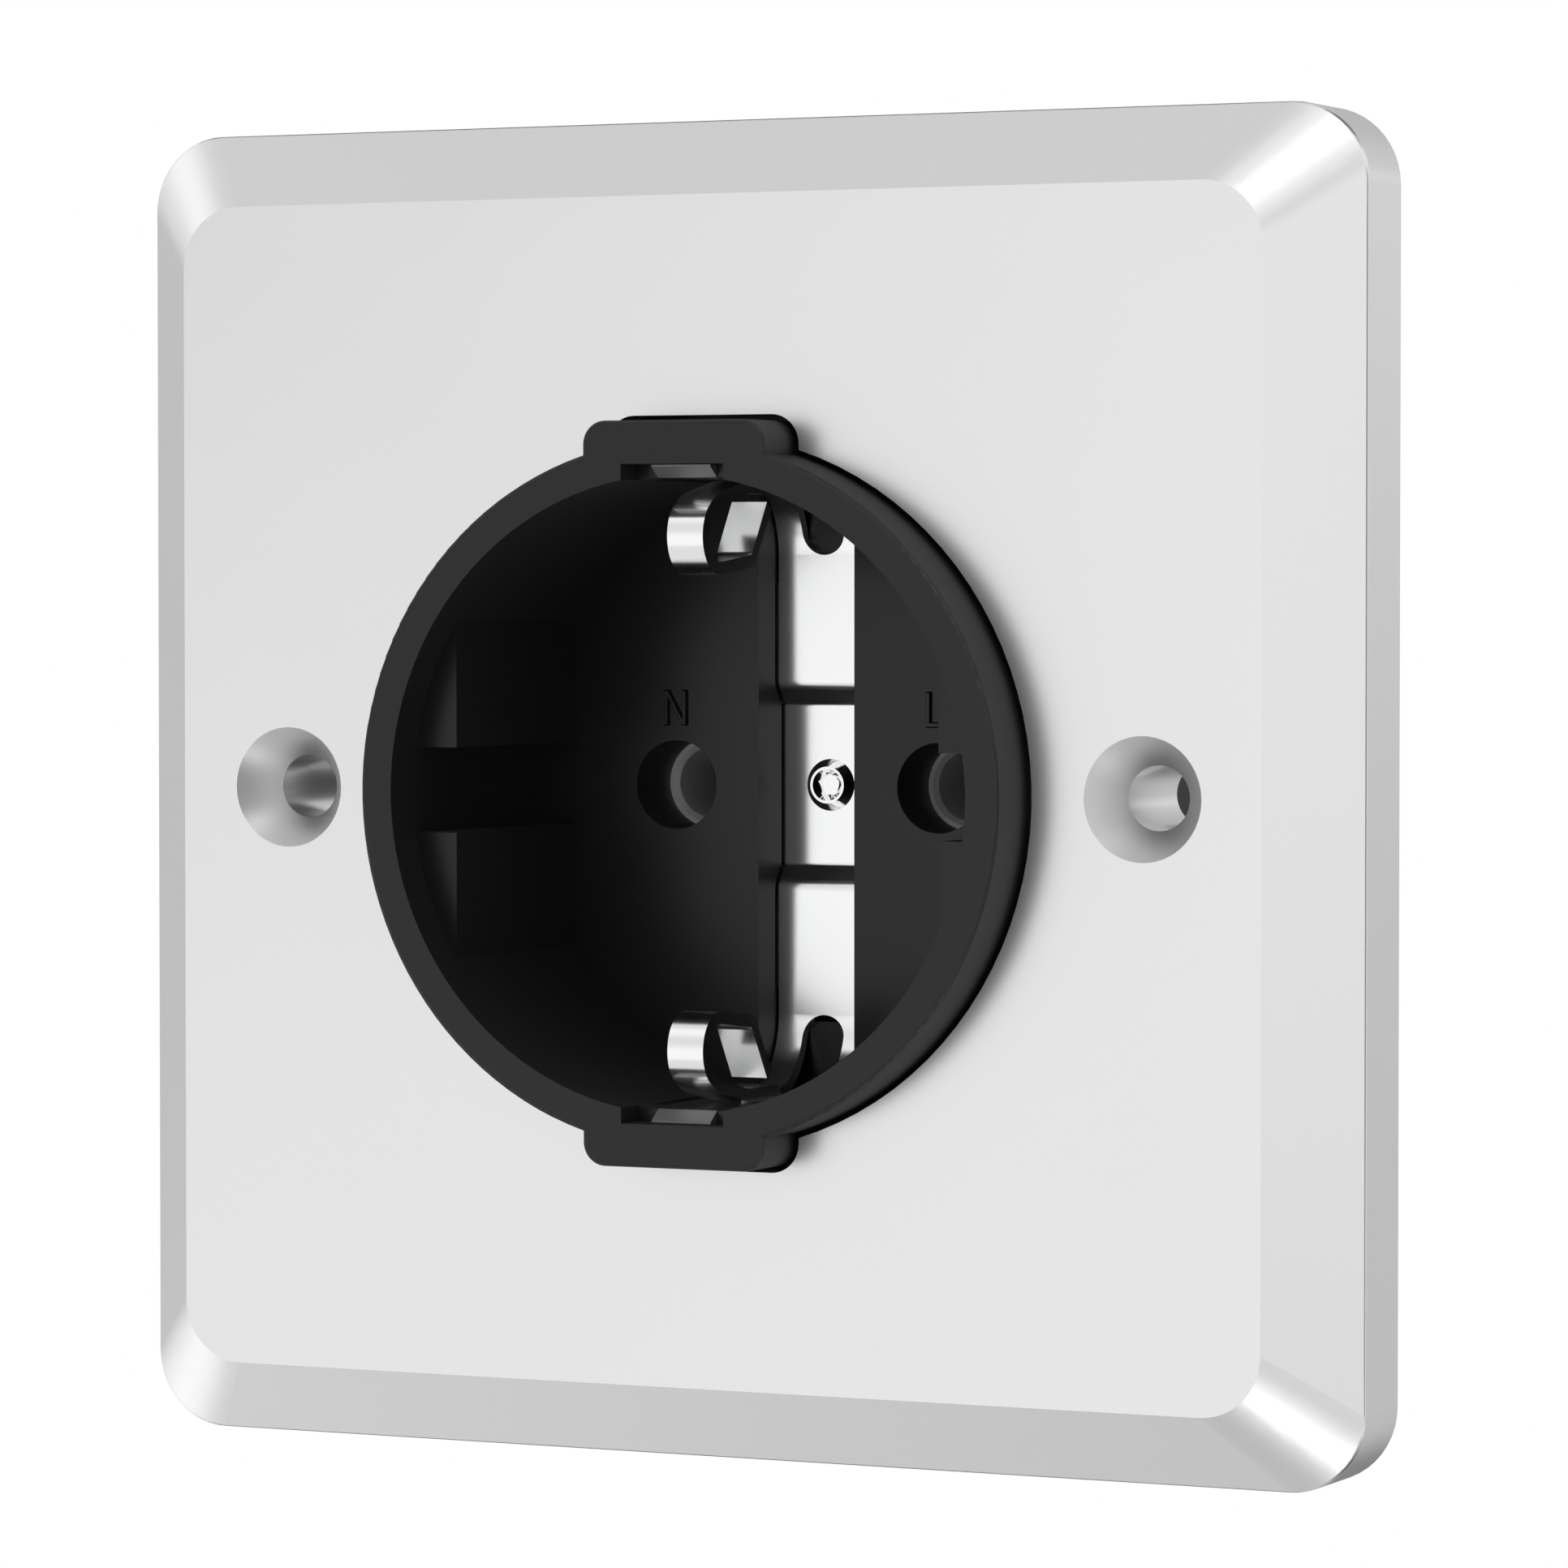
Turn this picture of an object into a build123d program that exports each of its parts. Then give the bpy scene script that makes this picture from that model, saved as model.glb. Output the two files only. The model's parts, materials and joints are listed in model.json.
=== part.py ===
"""Schuko socket on a square metal faceplate, millimetres.

X runs to the right, Y into the wall and Z up. The wall plane is Y = 0 and the
origin lies midway between the two fixing holes.
"""

import os

from build123d import *

# Faceplate
PLATE = 86.0
PLATE_DEPTH = 10.8
BEVEL = 5.0
CORNER_R = 5.0
FACE_CORNER_R = 4.0
EDGE_R = 0.35
SKIN = 2.2
SIDE_WALL = 2.0
FIX_PITCH = 60.3
FIX_R = 2.05
SINK_R = 3.92
SINK_DEPTH = 2.8
PILLAR_R = 5.0
WEB = 1.8
WEB_SHY = 1.2
PROBE = 0.01
OPENING_GAP = 0.4
BOSS_R = 3.4
BOSS_H = 4.0
BITE_SPARE = 0.3

# Socket insert
PROUD = 4.38
RIM_R = 22.35
RECESS_R = 20.15
TAB_HALF = 6.36
TAB_REACH = 23.6
TAB_R = 1.5
RIM_FILLET = 0.3
RECESS_DEPTH = 19.9
FLOOR = 2.83
PIN_PITCH = 19.0
PIN_HOLE_R = 2.95
COLLAR_WALL = 1.05
COLLAR_H = 2.2
KEY_CHORD = 17.0
KEY_DEPTH = 3.08
KEY_NOTCH_HALF = 2.75
KEY_ROOT = 0.5
FLANGE = 2.2
FLANGE_X = 23.4
FLANGE_Z = 28.4
FLANGE_R = 4.2
REAR_FLANGE = 3.0
RIB = 1.6
RIB_PITCH = 11.0
RIB_LAP = 0.3
RIB_SHY = 0.6
SLOT_PLAY = 0.14
LIP_PLAY = 0.27
LIP_DEPTH = 2.25
RELIEF = 0.3
RELIEF_WIDTH = 0.33

# Earth strap
STRAP = 0.8
ARM_HALF = 3.33
ARM_OUT = 20.8
ARM_PLAY = 0.05
TAB_STRIP_HALF = 2.07
TAB_STRIP_FRONT = 1.3
TIP_FLAT = 0.12
TIP_SLOPE = 0.95
SHOULDER = 4.5
WING_HALF = 4.2
WING_REACH = 13.4
STRAP_BEND = 4.8
JOG = 1.0
JOG_START = 5.15
JOG_ANGLE = 37.0
JOG_R = 0.4
SLOT_HALF = 1.5
SLOT_END = 15.2
SLOT_FRONT = 11.0
CLIP_HALF = 1.25
CLIP_ROOT = 1.6
CLIP_LAP = 0.3
CLIP_HEM_R = 0.47
CLIP_UPPER = 3.7
CLIP_UPPER_R = 4.0
CLIP_UPPER_ANGLE = 11.0
CLIP_SLOPE = 3.25
CLIP_CREST_R = 4.6
CLIP_CREST_ANGLE = 25.0
CLIP_NOSE_R = 2.05
CLIP_NOSE_ANGLE = 150.0
CLIP_LOWER = 4.31
CLIP_HEEL_R = 0.9
CLIP_HEEL_ANGLE = 50.4
CLIP_LEG = 3.86

# Strap screw
STRAP_SCREW_R = 1.25
STRAP_HEAD_R = 1.72
STRAP_HEAD_TOP_R = 1.22
STRAP_HEAD_H = 0.6
STRAP_SOCKET_R = 0.8
STRAP_SOCKET_DEPTH = 0.62
STRAP_LEAD_R = 1.05
STRAP_LEAD_DEPTH = 0.45
STRAP_SCREW_LEN = 6.0

# Contacts
SLEEVE_BORE = 2.35
SLEEVE_WALL = 0.8
SLEEVE_LEN = 12.0
SLEEVE_SLIT = 1.0
SLEEVE_LEAD = 0.3
SPRING_WALL = 0.6
SPRING_LEN = 3.4
SPRING_GAP = 1.6
SPRING_SETBACK = 0.6
TAIL = 0.9
TAIL_HALF = 2.4
TAIL_Y = 14.6
TAIL_END = 15.4

# Terminals
CAGE_HALF = 3.6
CAGE_WALL = 1.0
CAGE_LEN = 6.0
CAGE_CLEAR = 5.6
CAGE_HEAD = 1.8
CAGE_Z = 12.6
CAGE_SCREW_R = 1.75
CAGE_HEAD_R = 2.7
CAGE_HEAD_H = 2.0
CAGE_TIP = 3.0
CAGE_HEAD_LIFT = 0.6
CAGE_HEAD_CHAMFER = 0.3
SLOT_WIDTH = 0.8
SLOT_DEEP = 0.9

# Earth link
LINK = 1.2
LINK_HALF = 2.4
LINK_TOP = 4.4
LINK_DROP = 5.2
LINK_R = 0.6
LINK_ANGLE = 60.0
LINK_CLEAR = 1.2

# Base housing
BASE_HALF = 23.0
BASE_R = 9.0
BASE_REAR = 27.4
BASE_WALL = 2.4
BASE_CHAMFER = 0.8
POLE_PLAY = 0.1
STRAP_PLAY = 0.2
TIP_SPACE = 0.6
CORE_WALL = 2.2
CORE_R = 1.2
WIRE_R = 2.3
FUNNEL = 1.2
FIELD_HALF_X = 14.6
FIELD_HALF_Z = 4.6
FIELD_DEPTH = 0.8
FIELD_R = 2.0
SIGN_ROOM = 2.6
DRIVER_PLAY = 0.3
BASE_SCREW_AT = 17.4
BASE_SCREW_R = 1.4
BASE_SCREW_HEAD_R = 2.7
BASE_SCREW_HEAD_H = 1.9
BASE_SEAT = 12.0
BASE_BITE = 8.0
BASE_BOSS_R = 3.3

# Insert screws and plate earth terminal
INSERT_SCREW_X = 19.4
INSERT_SCREW_Z = 24.4
INSERT_SCREW_R = 1.4
INSERT_HEAD_R = 2.7
INSERT_HEAD_H = 1.6
INSERT_BITE = 4.6
PAN_CHAMFER = 0.5
HOLE_PLAY = 0.15
TAG_R = 3.2
TAG = 0.8
TAG_REACH = 9.0
TAG_TAIL_HALF = 2.24
WASHER = 0.6
WASHER_R = 2.9

# Levels along Y
PLATE_FRONT = -PLATE_DEPTH
SKIN_BACK = PLATE_FRONT + SKIN
INSERT_FRONT = PLATE_FRONT - PROUD
FLOOR_FRONT = INSERT_FRONT + RECESS_DEPTH
FLOOR_BACK = FLOOR_FRONT + FLOOR
FLANGE_FRONT = SKIN_BACK + BOSS_H
FLANGE_BACK = FLANGE_FRONT + FLANGE
STRAP_BACK = FLOOR_BACK + STRAP
JOG_FRONT = FLOOR_BACK + JOG
JOG_BACK = JOG_FRONT + STRAP
COLLAR_BACK = FLOOR_BACK + COLLAR_H
SLEEVE_FRONT = COLLAR_BACK
SLEEVE_R = SLEEVE_BORE + SLEEVE_WALL
COLLAR_R = PIN_HOLE_R + COLLAR_WALL
POLE_R = COLLAR_R + POLE_PLAY
CAGE_FRONT = TAIL_Y - CAGE_WALL
CAGE_BACK = TAIL_Y + CAGE_CLEAR + CAGE_HEAD
POLE_BACK = BASE_REAR - BASE_WALL
PIN_X = PIN_PITCH / 2
FIX_X = FIX_PITCH / 2
ARM_MID = ARM_OUT - STRAP / 2
CHANNEL = ARM_OUT + ARM_PLAY
FLOOR_SLOT = ARM_HALF + SLOT_PLAY
HOLLOW_HALF = PLATE / 2 - SIDE_WALL
HOLLOW_SLOPE = BEVEL + SIDE_WALL - SKIN
TAG_Z = (FLANGE_Z + HOLLOW_HALF - HOLLOW_SLOPE + BOSS_H) / 2
OVERCUT = 1.0
SIDES = (-1, 1)


def level(y):
    """Give the drawing plane in X and Z at a level along Y, facing the front."""
    return Plane(origin=(0, y, 0), x_dir=(1, 0, 0), z_dir=(0, -1, 0))


def prism(shape, front, back):
    """Extrude a drawing in X and Z between two levels along Y."""
    return extrude(level(back) * shape, amount=back - front)


def block(x0, x1, front, back, z0, z1):
    """Give a box between the stated limits."""
    middle = ((x0 + x1) / 2, (front + back) / 2, (z0 + z1) / 2)
    return Pos(*middle) * Box(x1 - x0, back - front, z1 - z0)


def rod(x, z, radius, front, back):
    """Give a cylinder along Y."""
    return prism(Pos(x, z) * Circle(radius), front, back)


def cone(x, z, front_r, back_r, front, back):
    """Give a cone along Y with the stated radii at its two levels."""
    turn = Pos(x, (front + back) / 2, z) * Rot(-90, 0, 0)
    return turn * Cone(front_r, back_r, back - front)


def folded(start, heading, moves, thickness, half_width):
    """Fold a strip in the side view; a pair turns it by radius and angle, a number runs it straight."""
    lines = []
    point = Vector(*start)
    ahead = Vector(1, 0).rotate(Axis.Z, heading)
    for move in moves:
        if isinstance(move, tuple):
            line = JernArc(start=point, tangent=ahead, radius=move[0], arc_size=move[1])
        else:
            line = Line(point, point + ahead * move)
        lines.append(line)
        point = line @ 1
        ahead = line % 1
    outline = trace(Curve() + lines, line_width=thickness)
    return extrude(Plane.YZ * outline, amount=half_width, both=True)


def insert_outline(grow):
    """Draw the rim circle with its two square tabs, grown by a margin."""
    tabs = RectangleRounded(2 * (TAB_HALF + grow), 2 * (TAB_REACH + grow), TAB_R + grow)
    return Circle(RIM_R + grow) + tabs


def corners(x, z):
    """Give four mirrored places."""
    return [(sx * x, sz * z) for sx in SIDES for sz in SIDES]


def pan_screw(x, z, head_r, head_h, shank_r, seat, length):
    """Make a pan head screw driven towards the front, its head behind the seat level."""
    head = rod(x, z, head_r, seat, seat + head_h)
    rim = head.edges().filter_by(GeomType.CIRCLE).sort_by(Axis.Y)[-1]
    return chamfer(rim, PAN_CHAMFER) + rod(x, z, shank_r, seat - length, seat)


def make_faceplate():
    """Cast plate with bevelled edge, hollow back, screw pillars and bosses."""
    face = RectangleRounded(PLATE - 2 * BEVEL, PLATE - 2 * BEVEL, FACE_CORNER_R)
    edge = RectangleRounded(PLATE, PLATE, CORNER_R)
    arris = PLATE_FRONT + BEVEL
    plate = loft([level(arris) * edge, level(PLATE_FRONT) * face], ruled=True)
    plate += prism(edge, arris, 0)
    plate = fillet(plate.edges().filter_by_position(Axis.Y, arris - PROBE, arris + PROBE), EDGE_R)
    wide = 2 * HOLLOW_HALF
    narrow = wide - 2 * HOLLOW_SLOPE
    inner_edge = RectangleRounded(wide, wide, CORNER_R - SIDE_WALL)
    inner_face = RectangleRounded(narrow, narrow, FACE_CORNER_R - SIDE_WALL)
    foot = SKIN_BACK + HOLLOW_SLOPE
    hollow = loft([level(foot) * inner_edge, level(SKIN_BACK) * inner_face], ruled=True)
    hollow += prism(inner_edge, foot, 0)
    for side in SIDES:
        hollow -= rod(side * FIX_X, 0, PILLAR_R, SKIN_BACK, 0)
        web = sorted((side * FIX_X, side * PLATE / 2))
        hollow -= block(*web, SKIN_BACK, -WEB_SHY, -WEB / 2, WEB / 2)
    bosses = [*corners(INSERT_SCREW_X, INSERT_SCREW_Z), (0, -TAG_Z)]
    for x, z in bosses:
        hollow -= rod(x, z, BOSS_R, SKIN_BACK, FLANGE_FRONT)
    plate -= hollow
    for x, z in bosses:
        plate -= rod(x, z, INSERT_SCREW_R, FLANGE_FRONT - INSERT_BITE - BITE_SPARE, FLANGE_FRONT)
    plate -= prism(insert_outline(OPENING_GAP), PLATE_FRONT, SKIN_BACK)
    for side in SIDES:
        plate -= rod(side * FIX_X, 0, FIX_R, PLATE_FRONT, 0)
        plate -= cone(side * FIX_X, 0, SINK_R, FIX_R, PLATE_FRONT, PLATE_FRONT + SINK_DEPTH)
    return plate


def flange_rib(x):
    """Draw the tapered rib between the two flanges, above the cup."""
    root = (RIM_R**2 - (abs(x) + RIB / 2) ** 2) ** 0.5 - RIB_LAP
    rear = FLOOR_BACK - REAR_FLANGE
    top = FLANGE_Z - RIB_SHY
    low = BASE_HALF - RIB_SHY
    outline = Polyline((FLANGE_BACK, root), (FLANGE_BACK, top), (rear, low), (rear, root), close=True)
    return Pos(x, 0, 0) * extrude(Plane.YZ * make_face(outline), amount=RIB / 2, both=True)


def joggle():
    """Give the length of the joggle's slanted run and the height at which the joggle ends."""
    bend = JOG_R + STRAP / 2
    lean = Vector(0, 1).rotate(Axis.Z, JOG_ANGLE)
    slant = (JOG - 2 * bend * (1 - lean.Y)) / -lean.X
    return slant, JOG_START - 2 * bend * lean.X + slant * lean.Y


def strap_half(half_width, forward):
    """Fold the upper half of the strap's strip, moved towards the front by a margin."""
    mid = JOG_FRONT + STRAP / 2 - forward
    jog_r = JOG_R + STRAP / 2
    slant, jog_end = joggle()
    bend_r = STRAP_BEND + STRAP / 2
    base_run = ARM_MID - bend_r - jog_end
    arm_run = (FLOOR_BACK + STRAP / 2 - bend_r) - (INSERT_FRONT + TAB_STRIP_FRONT)
    moves = [JOG_START, (jog_r, JOG_ANGLE), slant, (jog_r, -JOG_ANGLE), base_run, (bend_r, 90), arm_run]
    return folded((mid, 0), 90, moves, STRAP, half_width)


def strap_pad():
    """Make the pad behind the recess floor that fills the strap's joggle."""
    reach = joggle()[1]
    pad = block(-WING_HALF, WING_HALF, FLOOR_BACK, JOG_FRONT, -reach, reach)
    for forward in (0, -STRAP):
        strip = strap_half(WING_HALF + OVERCUT, forward)
        pad -= strip
        pad -= mirror(strip, about=Plane.XY)
    return pad


def make_insert():
    """Moulded cup with rim, tabs, keys, pin holes, strap channel and flanges."""
    cup = prism(insert_outline(0), INSERT_FRONT, FLANGE_BACK)
    front_edges = cup.faces().sort_by(Axis.Y)[0].edges()
    cup = fillet(front_edges, RIM_FILLET)
    cup += prism(Circle(RIM_R), FLANGE_BACK, FLOOR_BACK)
    cup += prism(RectangleRounded(2 * FLANGE_X, 2 * FLANGE_Z, FLANGE_R), FLANGE_FRONT, FLANGE_BACK)
    rear = RectangleRounded(2 * BASE_HALF, 2 * BASE_HALF, BASE_R)
    cup += prism(rear, FLOOR_BACK - REAR_FLANGE, FLOOR_BACK)
    for x, z in corners(BASE_SCREW_AT, BASE_SCREW_AT):
        cup += rod(x, z, BASE_BOSS_R, FLANGE_BACK, FLOOR_BACK)
    for x in (-RIB_PITCH, 0, RIB_PITCH):
        rib = flange_rib(x)
        cup += rib
        cup += mirror(rib, about=Plane.XY)
    cup -= rod(0, 0, RECESS_R, INSERT_FRONT, FLOOR_FRONT)
    keys = rod(0, 0, RECESS_R + KEY_ROOT, INSERT_FRONT + KEY_DEPTH, FLOOR_FRONT)
    reach = RECESS_R + OVERCUT
    keys -= block(-KEY_CHORD, KEY_CHORD, INSERT_FRONT, FLOOR_FRONT, -reach, reach)
    keys -= block(-reach, reach, INSERT_FRONT, FLOOR_FRONT, -KEY_NOTCH_HALF, KEY_NOTCH_HALF)
    cup += keys
    cup += strap_pad()
    for side in SIDES:
        cup += rod(side * PIN_X, 0, COLLAR_R, FLOOR_BACK, COLLAR_BACK)
        cup -= rod(side * PIN_X, 0, PIN_HOLE_R, FLOOR_FRONT, COLLAR_BACK)
    shoulder = INSERT_FRONT + SHOULDER - ARM_PLAY
    cup -= block(-FLOOR_SLOT, FLOOR_SLOT, shoulder, JOG_FRONT, -CHANNEL, CHANNEL)
    tab = TAB_STRIP_HALF + ARM_PLAY
    cup -= block(-tab, tab, INSERT_FRONT, shoulder, -CHANNEL, CHANNEL)
    lip = ARM_HALF + LIP_PLAY
    cup -= block(-lip, lip, INSERT_FRONT, INSERT_FRONT + LIP_DEPTH, -CHANNEL, CHANNEL)
    relief = strap_half(FLOOR_SLOT + RELIEF_WIDTH, RELIEF)
    relief &= block(-WING_HALF, WING_HALF, FLOOR_FRONT, JOG_BACK, 0, WING_REACH)
    cup -= relief
    cup -= mirror(relief, about=Plane.XY)
    for x, z in corners(INSERT_SCREW_X, INSERT_SCREW_Z):
        cup -= rod(x, z, INSERT_SCREW_R + HOLE_PLAY, FLANGE_FRONT, FLANGE_BACK)
    for x, z in corners(BASE_SCREW_AT, BASE_SCREW_AT):
        cup -= rod(x, z, BASE_SCREW_R, FLOOR_BACK - BASE_BITE - BITE_SPARE, FLOOR_BACK)
    return cup


def make_strap():
    """Stamped strap: joggled base, two arms and the two folded contact clips."""
    half = strap_half(WING_HALF, 0)
    far = ARM_OUT + OVERCUT
    for side in SIDES:
        outside = side * (WING_HALF + OVERCUT)
        arm_waste = sorted((side * ARM_HALF, outside))
        half -= block(*arm_waste, INSERT_FRONT, JOG_BACK, WING_REACH, far)
        tab_waste = sorted((side * TAB_STRIP_HALF, outside))
        half -= block(*tab_waste, INSERT_FRONT, INSERT_FRONT + SHOULDER, WING_REACH, far)
    tip = half.faces().sort_by(Axis.Y)[0]
    inner = tip.edges().filter_by(Axis.X).sort_by(Axis.Z)[0]
    half = chamfer(inner, STRAP - TIP_FLAT, TIP_SLOPE, reference=tip)
    slot_front = INSERT_FRONT + SLOT_FRONT
    half -= block(-SLOT_HALF, SLOT_HALF, slot_front, JOG_BACK, SLOT_END + SLOT_HALF, far)
    half -= rod(0, SLOT_END + SLOT_HALF, SLOT_HALF, FLOOR_BACK - STRAP_BEND, JOG_BACK)
    clip_moves = [
        CLIP_ROOT + CLIP_LAP,
        (CLIP_HEM_R, -180),
        CLIP_UPPER,
        (CLIP_UPPER_R, CLIP_UPPER_ANGLE),
        CLIP_SLOPE,
        (CLIP_CREST_R, CLIP_CREST_ANGLE),
        (CLIP_NOSE_R, CLIP_NOSE_ANGLE),
        CLIP_LOWER,
        (CLIP_HEEL_R, CLIP_HEEL_ANGLE),
        CLIP_LEG,
    ]
    half += folded((slot_front - CLIP_LAP, ARM_MID), 0, clip_moves, STRAP, CLIP_HALF)
    strap = half + mirror(half, about=Plane.XY)
    return strap - rod(0, 0, STRAP_SCREW_R, JOG_FRONT, JOG_BACK)


def make_strap_screw():
    """Small screw with a tapered head and a five-sided recess under a round lead-in."""
    top = JOG_FRONT - STRAP_HEAD_H
    screw = cone(0, 0, STRAP_HEAD_TOP_R, STRAP_HEAD_R, top, JOG_FRONT)
    screw += rod(0, 0, STRAP_SCREW_R, JOG_FRONT, JOG_FRONT + STRAP_SCREW_LEN)
    recess = RegularPolygon(STRAP_SOCKET_R, 5)
    screw -= prism(Rot(0, 0, 90) * recess, top, top + STRAP_SOCKET_DEPTH)
    return screw - cone(0, 0, STRAP_LEAD_R, recess.apothem, top, top + STRAP_LEAD_DEPTH)


def make_contact(side):
    """Rolled contact sleeve with its slit and terminal tail."""
    x = side * PIN_X
    back = SLEEVE_FRONT + SLEEVE_LEN
    sleeve = rod(x, 0, SLEEVE_R, SLEEVE_FRONT, back)
    sleeve += block(x - TAIL_HALF, x + TAIL_HALF, TAIL_Y, TAIL_Y + TAIL, -TAIL_END, 0)
    sleeve -= rod(x, 0, SLEEVE_BORE, SLEEVE_FRONT, back)
    sleeve -= cone(x, 0, SLEEVE_BORE + SLEEVE_LEAD, SLEEVE_BORE, SLEEVE_FRONT, SLEEVE_FRONT + SLEEVE_LEAD)
    half_slit = SLEEVE_SLIT / 2
    return sleeve - block(x - half_slit, x + half_slit, SLEEVE_FRONT, back, 0, SLEEVE_R)


def make_spring(side):
    """Steel spring ring round the mouth of a contact sleeve."""
    x = side * PIN_X
    front = SLEEVE_FRONT + SPRING_SETBACK
    back = front + SPRING_LEN
    ring = rod(x, 0, SLEEVE_R + SPRING_WALL, front, back) - rod(x, 0, SLEEVE_R, front, back)
    half_gap = SPRING_GAP / 2
    return ring - block(x - half_gap, x + half_gap, front, back, 0, POLE_R)


def make_clamp(x):
    """Terminal cage round the tail, threaded for its screw."""
    low = -CAGE_Z - CAGE_LEN / 2
    high = -CAGE_Z + CAGE_LEN / 2
    cage = block(x - CAGE_HALF, x + CAGE_HALF, CAGE_FRONT, CAGE_BACK, low, high)
    inner = CAGE_HALF - CAGE_WALL
    cage -= block(x - inner, x + inner, TAIL_Y, TAIL_Y + CAGE_CLEAR, low, high)
    return cage - rod(x, -CAGE_Z, CAGE_SCREW_R, TAIL_Y + CAGE_CLEAR, CAGE_BACK)


def make_clamp_screw(x):
    """Slotted terminal screw, its head towards the rear."""
    seat = CAGE_BACK + CAGE_HEAD_LIFT
    screw = rod(x, -CAGE_Z, CAGE_HEAD_R, seat, seat + CAGE_HEAD_H)
    rim = screw.edges().filter_by(GeomType.CIRCLE).sort_by(Axis.Y)[-1]
    screw = chamfer(rim, CAGE_HEAD_CHAMFER)
    half = SLOT_WIDTH / 2
    rear = seat + CAGE_HEAD_H
    screw -= block(x - half, x + half, rear - SLOT_DEEP, rear, -CAGE_Z - CAGE_HEAD_R, -CAGE_Z + CAGE_HEAD_R)
    return screw + rod(x, -CAGE_Z, CAGE_SCREW_R, TAIL_Y + CAGE_TIP, seat)


def make_link():
    """Strip behind the strap that leads down into the earth terminal."""
    mid = JOG_BACK + LINK / 2
    bend = LINK_R + LINK / 2
    rise = TAIL_Y + LINK / 2 - mid
    slant_way = Vector(0, -1).rotate(Axis.Z, LINK_ANGLE)
    arc_side = bend * (1 - Vector(1, 0).rotate(Axis.Z, LINK_ANGLE).X)
    slant = (rise - 2 * arc_side) / slant_way.X
    first = LINK_TOP + LINK_DROP
    fall = first + 2 * bend * slant_way.X - slant * slant_way.Y
    last = LINK_TOP + TAIL_END - fall
    moves = [first, (bend, LINK_ANGLE), slant, (bend, -LINK_ANGLE), last]
    link = folded((mid, LINK_TOP), -90, moves, LINK, LINK_HALF)
    return link - rod(0, 0, STRAP_SCREW_R, JOG_BACK, JOG_BACK + LINK)


def make_base():
    """Rear moulding with pockets for contacts, cages and the strap."""
    base = prism(RectangleRounded(2 * BASE_HALF, 2 * BASE_HALF, BASE_R), FLOOR_BACK, BASE_REAR)
    rim = base.faces().sort_by(Axis.Y)[-1].edges()
    base = chamfer(rim, BASE_CHAMFER)
    cage = CAGE_HALF + POLE_PLAY
    low = -CAGE_Z - CAGE_LEN / 2 - POLE_PLAY
    for side in SIDES:
        x = side * PIN_X
        base -= rod(x, 0, POLE_R, FLOOR_BACK, POLE_BACK)
        base -= block(x - cage, x + cage, FLOOR_BACK, POLE_BACK, low, 0)
    wing = WING_HALF + POLE_PLAY
    reach = ARM_OUT + STRAP_PLAY
    base -= block(-wing, wing, FLOOR_BACK, STRAP_BACK, -reach, reach)
    jog_reach = joggle()[1] + STRAP_PLAY
    base -= block(-wing, wing, STRAP_BACK, JOG_BACK, -jog_reach, jog_reach)
    link_half = LINK_HALF + POLE_PLAY
    base -= block(-link_half, link_half, JOG_BACK, JOG_BACK + LINK, low, LINK_TOP + POLE_PLAY)
    base -= block(-cage, cage, STRAP_BACK, POLE_BACK, low, -LINK_DROP + LINK_CLEAR)
    base -= rod(0, 0, STRAP_SCREW_R + HOLE_PLAY, JOG_BACK, JOG_FRONT + STRAP_SCREW_LEN + TIP_SPACE)
    field = RectangleRounded(2 * FIELD_HALF_X, 2 * FIELD_HALF_Z + SIGN_ROOM, FIELD_R)
    base -= prism(Pos(0, SIGN_ROOM / 2 - CAGE_Z) * field, BASE_REAR - FIELD_DEPTH, BASE_REAR)
    wire_y = TAIL_Y + TAIL + WIRE_R
    way_in = BASE_HALF + low
    mouth = Pos(0, 0, (FUNNEL - way_in) / 2) * Cone(WIRE_R + FUNNEL, WIRE_R, FUNNEL)
    for x in (-PIN_X, 0, PIN_X):
        base -= rod(x, -CAGE_Z, CAGE_HEAD_R + DRIVER_PLAY, POLE_BACK, BASE_REAR)
        base -= Pos(x, wire_y, low - way_in / 2) * (Cylinder(WIRE_R, way_in) + mouth)
    core_x = (CORE_WALL / 2, BASE_SCREW_AT - BASE_SCREW_HEAD_R - CORE_WALL)
    core_z = (POLE_R + CORE_WALL, BASE_HALF - CORE_WALL)
    core = RectangleRounded(core_x[1] - core_x[0], core_z[1] - core_z[0], CORE_R)
    for side in SIDES:
        base -= prism(Pos(side * sum(core_x) / 2, sum(core_z) / 2) * core, BASE_SEAT, BASE_REAR)
    for x, z in corners(BASE_SCREW_AT, BASE_SCREW_AT):
        base -= rod(x, z, BASE_SCREW_R + HOLE_PLAY, FLOOR_BACK, BASE_SEAT)
        base -= rod(x, z, BASE_SCREW_HEAD_R + DRIVER_PLAY, BASE_SEAT, BASE_REAR)
    return base


def make_base_screws():
    """Four screws from the rear moulding into the insert."""
    length = BASE_SEAT - FLOOR_BACK + BASE_BITE
    sizes = (BASE_SCREW_HEAD_R, BASE_SCREW_HEAD_H, BASE_SCREW_R, BASE_SEAT, length)
    return Compound([pan_screw(x, z, *sizes) for x, z in corners(BASE_SCREW_AT, BASE_SCREW_AT)])


def make_insert_screws():
    """Four screws from the insert flange into the plate bosses."""
    sizes = (INSERT_HEAD_R, INSERT_HEAD_H, INSERT_SCREW_R, FLANGE_BACK, FLANGE + INSERT_BITE)
    return Compound([pan_screw(x, z, *sizes) for x, z in corners(INSERT_SCREW_X, INSERT_SCREW_Z)])


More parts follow.
